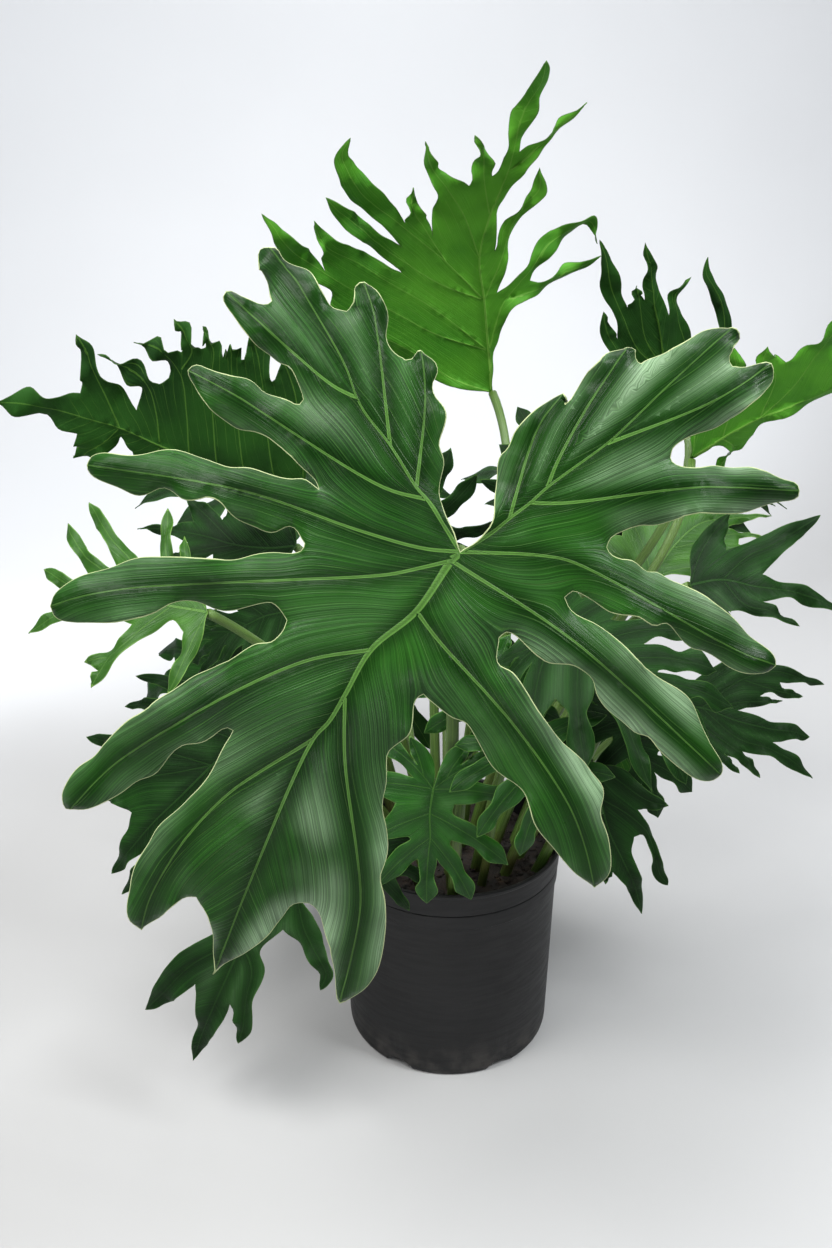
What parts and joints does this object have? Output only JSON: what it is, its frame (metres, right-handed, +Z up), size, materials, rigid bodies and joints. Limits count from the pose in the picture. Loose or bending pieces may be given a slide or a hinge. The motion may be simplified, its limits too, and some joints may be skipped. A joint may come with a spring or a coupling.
{
  "type": "potted split-leaf philodendron",
  "caption": "Leafy houseplant with large, deeply cut and wavy leaves on long arching stems, standing in soil in a round black plastic nursery pot; it rests on its flat base.",
  "frame": {"origin": "middle of the flat underside of the pot, on the surface the plant stands on", "axes": "+Z up along the pot's axis; the large front leaf faces -Y; +X is to its right as the viewer sees it"},
  "size_m": [0.7233, 0.8288, 0.8826],
  "materials": {
    "pot_plastic": "matte",
    "potting_soil": "rough, crumbly",
    "leaf_blade": "satin, waxy",
    "leaf_stem": "satin"
  },
  "bodies": {
    "root": {"front_blade": "leaf_blade", "front_stem": "leaf_stem", "tall_back_blade": "leaf_blade", "tall_back_stem": "leaf_stem", "upper_left_blade": "leaf_blade", "upper_left_stem": "leaf_stem", "left_dark_blade": "leaf_blade", "left_dark_stem": "leaf_stem", "young_left_blade": "leaf_blade", "young_left_stem": "leaf_stem", "left_mid_blade": "leaf_blade", "left_mid_stem": "leaf_stem", "left_low_blade": "leaf_blade", "left_low_stem": "leaf_stem", "hanging_left_blade": "leaf_blade", "hanging_left_stem": "leaf_stem", "rim_left_blade": "leaf_blade", "rim_left_stem": "leaf_stem", "centre_low_blade": "leaf_blade", "centre_low_stem": "leaf_stem", "centre_high_blade": "leaf_blade", "centre_high_stem": "leaf_stem", "right_fill_blade": "leaf_blade", "right_fill_stem": "leaf_stem", "right_upper_blade": "leaf_blade", "right_upper_stem": "leaf_stem", "far_right_blade": "leaf_blade", "far_right_stem": "leaf_stem", "right_bright_blade": "leaf_blade", "right_bright_stem": "leaf_stem", "right_mid_blade": "leaf_blade", "right_mid_stem": "leaf_stem", "right_low_blade": "leaf_blade", "right_low_stem": "leaf_stem", "hanging_right_blade": "leaf_blade", "hanging_right_stem": "leaf_stem", "dark_upright_blade": "leaf_blade", "dark_upright_stem": "leaf_stem", "mid_dark_blade": "leaf_blade", "mid_dark_stem": "leaf_stem", "back_left_blade": "leaf_blade", "back_left_stem": "leaf_stem", "back_mid_blade": "leaf_blade", "back_mid_stem": "leaf_stem", "back_right_blade": "leaf_blade", "back_right_stem": "leaf_stem", "back_low_blade": "leaf_blade", "back_low_stem": "leaf_stem", "back_low_right_blade": "leaf_blade", "back_low_right_stem": "leaf_stem", "fill_left_blade": "leaf_blade", "fill_left_stem": "leaf_stem", "fill_right_blade": "leaf_blade", "fill_right_stem": "leaf_stem", "centre_back_blade": "leaf_blade", "centre_back_stem": "leaf_stem", "right_back_blade": "leaf_blade", "right_back_stem": "leaf_stem", "pot": "pot_plastic", "soil": "potting_soil"}
  },
  "joints": []
}
